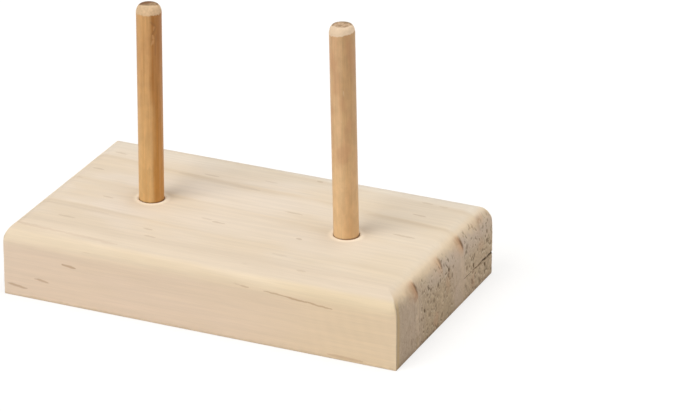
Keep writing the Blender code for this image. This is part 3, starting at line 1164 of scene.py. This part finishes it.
pegs = {
    "leftPeg": {
        "hole": "left", "node": "left_peg", "slot": "amber_dowel", "seed": 3.0,
        "light": srgb(207, 158, 101), "dark": srgb(172, 112, 47), "tip": srgb(220, 188, 150),
        "bounceLit": srgb(224, 180, 120), "bounceLitDark": srgb(202, 141, 67), "flat": 1.98,
        # the colours near the foot carry painted bounce light from the block
        "endLight": srgb(174, 144, 112), "endDark": srgb(138, 110, 80), "stain": srgb(124, 84, 52),
        "splitAt": 0.35, "splitSoft": 0.62, "splitDrift": 0.006, "band": 1.7, "scallop": 1.2, "tilt": 0.0,
        # dark figure near the top: across and depth below the end, for both ends, half width and strength
        "figure": (
            (0.65, 2.9, 1.80, 4.1, 0.34, 0.30), (1.85, 4.3, 0.85, 6.1, 0.32, 0.30),
            (0.85, 6.0, 0.75, 8.6, 0.26, 0.25), (1.85, 6.0, 1.55, 11.0, 0.36, 0.25),
        ),
        # short pale flecks, measured the same way
        "flecks": (
            (0.75, 8.5, 1.3, 7.2, 0.32, 0.32), (1.1, 6.0, 1.3, 7.2, 0.26, 0.30),
            (1.45, 4.0, 1.3, 5.0, 0.22, 0.22), (-0.6, 38.3, -0.1, 36.7, 0.28, 0.6),
            (0.45, 38.2, 0.0, 36.7, 0.28, 0.5),
        ),
        "crescent": (-0.55, 0.84, 0.35, 0.85), "lipFrom": 0.5, "speckle": (0.86, 1.05),
        "blush": srgb(186, 128, 70), "blushShare": 0.12, "fleck": srgb(230, 184, 124),
        # the dark line of painted shade where the peg enters the block
        "glue": srgb(96, 64, 34),
    },
    "rightPeg": {
        "hole": "right", "node": "right_peg", "slot": "tan_dowel", "seed": 8.0,
        "light": srgb(213, 174, 130), "dark": srgb(191, 150, 102), "tip": srgb(231, 206, 177),
        "bounceLit": srgb(233, 195, 146), "bounceLitDark": srgb(225, 182, 130), "flat": 2.15,
        "endLight": srgb(214, 184, 152), "endDark": srgb(160, 128, 98), "stain": srgb(128, 108, 78),
        "splitAt": -0.25, "splitSoft": 1.0, "splitDrift": 0.0, "band": 1.6, "scallop": 0.8, "tilt": -0.14,
        "figure": ((-0.55, 3.2, -0.35, 12.0, 0.14, 0.25), (0.30, 2.6, 0.40, 9.0, 0.12, 0.25)),
        "flecks": ((0.2, 14.0, 0.5, 15.6, 0.18, 0.3), (-0.7, 20.3, -0.3, 21.6, 0.18, 0.3)),
        "crescent": (0.35, 0.94, 0.95, 0.6), "lipFrom": 1.5, "speckle": (0.94, 1.03),
        "blush": srgb(192, 138, 98), "blushShare": 0.42, "fleck": srgb(231, 206, 177),
        "glue": srgb(122, 84, 48),
    },
}


def pegPlace(hole):
    top = block["thickness"]
    mouth = Matrix.Translation(Vector((hole["x"], hole["y"], top)) * mm)
    down = Matrix.Translation(Vector((0.0, 0.0, hole["floor"] + dowel["seatGap"] - top)) * mm)
    return mouth @ Matrix.Rotation(-math.radians(hole["lean"]), 4, "Y") @ down


def pegRow(radius, height, seed, onTip):
    # one ring of a peg's mesh, a little uneven
    flats, sanding = dowel["flats"], dowel["sanding"]
    row = []
    for side in range(dowel["sides"]):
        angle = 2 * math.pi * side / dowel["sides"]
        ripple, sanded = (
            fractal((math.cos(angle) * way["turn"], math.sin(angle) * way["turn"], height * way["along"]),
                    1.0, way["layers"], seed + way["seed"])
            for way in (flats, sanding))
        wide = radius + flats["depth"] * (ripple - 1.0) + onTip * sanding["depth"] * sanded
        row.append(np.array((wide * math.cos(angle), wide * math.sin(angle), height)))
    return row


def buildPeg(name, peg, material):
    length, radius, flat = dowel["length"], dowel["radius"], peg["flat"]
    tip = [(flat + (radius - flat) * share, height, 1.0) for share, height in dowel["tipSteps"]]
    lastTip = tip[-1][1]
    count = round((length - 2 * lastTip) / dowel["ringGap"])
    plain = [lastTip + (length - 2 * lastTip) * step / count for step in range(1, count)]
    disc = dowel["discSteps"]
    stations = [(flat * share, 0.0, 1.0) for share, rise in disc] + tip
    stations += [(radius, height, 0.0) for height in plain]
    stations += [(wide, length - height, 1.0) for wide, height, onTip in reversed(tip)]
    stations += [(flat * share, length + dowel["dome"] * rise, 1.0) for share, rise in reversed(disc)]
    points, faces, rows = [], [], []
    for wide, height, onTip in stations:
        rows.append(addRow(points, pegRow(wide, height, peg["seed"], min(1.0, wide / flat) * onTip)))
    for low, high in zip(rows, rows[1:]):
        bridge(faces, low, high)
    closeRow(points, faces, rows[0], (0.0, 0.0, 0.0))
    closeRow(points, faces, rows[-1], (0.0, 0.0, length + dowel["dome"]))
    made = makeObject(name, points, faces, material, dowel["sharpFrom"])
    made.matrix_world = pegPlace(holes[peg["hole"]])
    return made


darkWay = (0.916, 0.402, 0.0)  # the darker wood of each dowel lies to this side of its axis
plainWay = (0.402, -0.916, 0.0)  # and its figure faces this way


def onDowel(across, under):
    # a point on the plain side of a dowel, this far across and this far below its upper end
    outward = math.sqrt(dowel["radius"] ** 2 - across ** 2)
    x, y = (across * dark + outward * plain for dark, plain in zip(darkWay[:2], plainWay[:2]))
    return x, y, dowel["length"] - under


def dowelMaterial(name, peg):
    material, position = startMaterial(name)
    x, y, z = split(position)
    grainWay = join(plus(z, peg["seed"] * dowel["grainShift"]), x, y)  # the fibres run up the peg
    fibres = useGroup("fibres", {"Position": grainWay, **dowel["fibres"]})
    dashes = useGroup("canals", {"Position": grainWay, **dowel["dashes"]})["Dashes"]
    pores = useGroup("pores", {"Position": grainWay, **dowel["pores"]})

    def through(value, name, *shares):
        return fade(value, *dowelFades[name], *shares)

    # painted bounce light from the block: brighter wood towards the foot
    hole = holes[peg["hole"]]
    entry = (block["thickness"] - hole["floor"] - dowel["seatGap"]) / math.cos(math.radians(hole["lean"]))
    bounceLit = fade(z, entry, entry + dowel["bounceReach"], 1.0, 0.0)
    lightWood = mixColour(bounceLit, peg["light"], peg["bounceLit"])
    darkWood = mixColour(bounceLit, peg["dark"], peg["bounceLitDark"])

    # a change from light to dark wood down one side
    under = minus(dowel["length"], z)
    across = calcVector("DOT_PRODUCT", position, darkWay)
    wobble = softNoise(grainWay, size=5.0, stretch=(1.6, 1.0, 1.0))
    borderAt = scaleAdd(wobble, dowel["splitWander"], peg["splitAt"] - dowel["splitWander"] / 2)
    borderAt = scaleAdd(under, peg["splitDrift"], borderAt)
    darkSide = fade(minus(across, borderAt), -peg["splitSoft"], peg["splitSoft"])
    bySide, byStreaks, plain = dowel["darkness"]
    darkness = scaleAdd(fibres["Streaks"], byStreaks, scaleAdd(darkSide, bySide, plain))
    colour = mixColour(strongest(darkness, 0.0), lightWood, darkWood)

    # fibres, blotches, dashes, dark figure and pale flecks
    mottle = softNoise(
        grainWay, size=1.7, detail=3.0, rough=0.6, stretch=(1.7, 1.0, 1.0), shift=(4.0, 7.0, 2.0))
    tone = times(scaleAdd(fibres["Fine"], *dowel["fineTone"]), through(mottle, "mottle"))
    blush = softNoise(grainWay, size=3.2, stretch=(2.4, 1.0, 1.0), shift=(8.0, 3.0, 6.0))
    blush = times(through(blush, "blush", 0.0, peg["blushShare"]), through(bounceLit, "blushFoot"))
    colour = layColours(shade(colour, tone), [
        (blush, peg["blush"]), (times(dashes, dowel["dashShare"]), peg["endDark"])])
    wander = calcVector("SCALE", join(wobble, fibres["Fine"], wobble), scale=dowel["figureWander"])
    for marks, tint in (("figure", "stain"), ("flecks", "fleck")):
        strokes = [(onDowel(*ends[:2]), onDowel(*ends[2:]), halfWidth, strength)
                   for *ends, halfWidth, strength in peg[marks]]
        drawn = drawStrokes(calcVector("ADD", position, wander), strokes)
        colour = mixColour(drawn, colour, peg[tint])

    # painted shade: a thin dark line where it enters the block, in the gap round it
    aboveEntry = scaleAdd(fibres["Fine"], dowel["glueUneven"], minus(z, entry))
    colour = mixColour(through(aboveEntry, "glue"), colour, peg["glue"])

    # the sanded tip, paler, with a ragged lower border
    ragged = softNoise(position, size=0.9, stretch=(1.0, 1.0, 3.0))
    border = scaleAdd(ragged, peg["scallop"], peg["band"] - peg["scallop"] / 2)
    border = scaleAdd(across, peg["tilt"], border)
    onTip = through(minus(border, under), "onTip")
    tipTone = softNoise(position, size=0.7, shift=(peg["seed"], 1.0, 6.0))
    tipColour = shade(peg["tip"], through(tipTone, "tipTone", *peg["speckle"]))
    colour = mixColour(times(onTip, dowel["tipShare"]), colour, tipColour)

    # its cut end is darker at the rim, most of all in a crescent on one side, and rubbed pale at the front
    onDisc = through(under, "onDisc")
    axisWay, backWay, start, share = peg["crescent"]
    rimWay = [axisWay * dark - backWay * plain for dark, plain in zip(darkWay, plainWay)]
    towards = calcVector("DOT_PRODUCT", position, rimWay)
    front = calcVector("DOT_PRODUCT", position, plainWay)
    fromAxis = calcVector("LENGTH", join(x, y, 0.0))
    fromRim = minus(fromAxis, peg["flat"])
    uneven = times(ragged, dowel["rimUneven"])
    crescent = through(plus(uneven, minus(towards, start)), "crescent", 0.0, share)
    crescent = strongest(crescent, times(through(fromRim, "cut"), through(front, "cutBack")))
    lip = times(through(plus(uneven, fromRim), "lip"), through(front, "lipFront"))
    rubbed = through(plus(uneven, minus(front, peg["lipFrom"])), "rubbed")
    discColour = layColours(peg["endLight"], [
        (pores["Mottle"], peg["endDark"]),
        (times(pores["Pores"], dowel["poreShare"]), peg["stain"]),
        (crescent, peg["stain"]),
        (strongest(lip, rubbed), tipColour),
    ])
    colour = mixColour(onDisc, colour, discColour)

    bumps = dowel["bumps"]
    rough = scaleAdd(onTip, dowel["tipRougher"], scaleAdd(fibres["Fine"], *dowel["roughness"]))
    height = scaleAdd(fibres["Fine"], bumps["fine"], times(dashes, bumps["dashes"]))
    height = scaleAdd(times(pores["Pores"], onDisc), bumps["pores"], height)
    finishSurface(colour, rough, dowel["shine"], height, *dowel["bump"])
    return material


# Put the object together

pineBlock = buildBlock(pineMaterial())
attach(pineBlock, "root")
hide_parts("base_block")
print("Pine block: shaped, drilled and stained")

for name, peg in pegs.items():
    made = buildPeg(name, peg, dowelMaterial(peg["slot"], peg))
    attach(made, "root")
    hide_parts(peg["node"])
print("Pegs: turned and set in their holes")


# Floor, lamps and camera

studio = {
    "floorSize": 6.0,  # metres
    "floorDrop": 0.02,  # the floor lies this far under the block
    "floorColour": srgb(240, 239, 237),
    "floorGlow": 0.60,  # share of plain white that the camera sees in the floor
    "glowStrength": 1.12,
    "lamps": {  # turn from the right end and height in degrees, strength, and how wide it looks in degrees
        "frontLamp": (240.0, 44.0, 1.82, 45.0),
        "backLamp": (30.0, 38.0, 1.30, 110.0),
        "topLamp": (0.0, 90.0, 1.05, 60.0),
    },
    "lampColour": (1.0, 0.99, 0.975),
    "worldStrength": 0.10,
    "worldColour": (1.0, 0.985, 0.96, 1.0),
    "white": (1.0, 1.0, 1.0, 1.0),
}


def openEmptyTree(owner):
    owner.use_nodes = True
    owner.node_tree.nodes.clear()
    openTree(owner.node_tree)


def makeNode(kind, values):
    node = newNode(kind)
    for name, value in values.items():
        node.inputs[name].default_value = value
    return node


def seenMix(share, plain, seen, outputKind):
    # two shaders mixed by share, into the output of a tree that holds nothing else
    output = newNode(outputKind)
    mix = newNode("ShaderNodeMixShader")
    for source, socket in zip((share, plain.outputs[0], seen.outputs[0]), mix.inputs):
        plug(source, socket)
    plug(mix.outputs[0], output.inputs["Surface"])


def buildFloor():
    material = bpy.data.materials.new("floorPaper")
    openEmptyTree(material)
    paper = makeNode("ShaderNodeBsdfDiffuse", {"Color": studio["floorColour"]})
    glow = makeNode("ShaderNodeEmission", {"Strength": studio["glowStrength"]})
    path = newNode("ShaderNodeLightPath").outputs
    seen = strongest(*(path[f"Is {kind} Ray"] for kind in ("Camera", "Glossy", "Transmission")))
    seenMix(times(seen, studio["floorGlow"]), paper, glow, "ShaderNodeOutputMaterial")
    mesh = bpy.data.meshes.new("floorSheet")
    work = bmesh.new()
    bmesh.ops.create_grid(work, x_segments=4, y_segments=4, size=studio["floorSize"] / 2)
    bmesh.ops.translate(work, verts=work.verts, vec=(0.0, 0.0, -studio["floorDrop"] * mm))
    work.to_mesh(mesh)
    work.free()
    mesh.materials.append(material)
    return addToScene("floorSheet", mesh)


def buildLights():
    for name, (turn, height, strength, width) in studio["lamps"].items():
        sun = bpy.data.lights.new(name, "SUN")
        sun.energy = strength
        sun.angle = math.radians(width)
        sun.color = studio["lampColour"]
        turn, height = math.radians(turn), math.radians(height)
        level = math.cos(height)
        towards = Vector((math.cos(turn) * level, math.sin(turn) * level, math.sin(height)))
        addToScene(name, sun).rotation_euler = towards.to_track_quat("Z", "Y").to_euler()
    world = bpy.data.worlds.new("studioRoom")
    openEmptyTree(world)
    room = makeNode("ShaderNodeBackground", {
        "Color": studio["worldColour"], "Strength": studio["worldStrength"]})
    white = makeNode("ShaderNodeBackground", {"Color": studio["white"], "Strength": 1.0})
    seen = newNode("ShaderNodeLightPath").outputs["Is Camera Ray"]
    seenMix(seen, room, white, "ShaderNodeOutputWorld")
    bpy.context.scene.world = world


shot = {
    "azimuth": 23.7463,  # degrees, from straight in front towards the right end
    "elevation": 24.1394,
    "roll": 0.2741,
    "aim": (15.46, 14.59, 15.93),
    "distance": 937.06,
    "lens": 221.86,
    "sensor": 36.0,
    "clip": (0.01, 100.0),  # metres
}


def buildCamera():
    turn, lift, roll = (math.radians(shot[key]) for key in ("azimuth", "elevation", "roll"))
    back = Vector((math.sin(turn) * math.cos(lift), -math.cos(turn) * math.cos(lift), math.sin(lift)))
    level = Vector((0.0, 0.0, 1.0)).cross(back).normalized()
    upright = back.cross(level)
    right = math.cos(roll) * level + math.sin(roll) * upright
    up = -math.sin(roll) * level + math.cos(roll) * upright
    lens = bpy.data.cameras.new("shotCamera")
    lens.sensor_width = shot["sensor"]
    lens.lens = shot["lens"]
    lens.dof.use_dof = False
    lens.clip_start, lens.clip_end = shot["clip"]
    camera = addToScene("shotCamera", lens)
    place = (Vector(shot["aim"]) + back * shot["distance"]) * mm
    camera.matrix_world = Matrix.Translation(place) @ Matrix((right, up, back)).transposed().to_4x4()
    bpy.context.scene.camera = camera


buildFloor()
buildLights()
buildCamera()
bpy.context.scene.view_settings.view_transform = "Standard"
print("Studio: floor, lamps and camera in place")
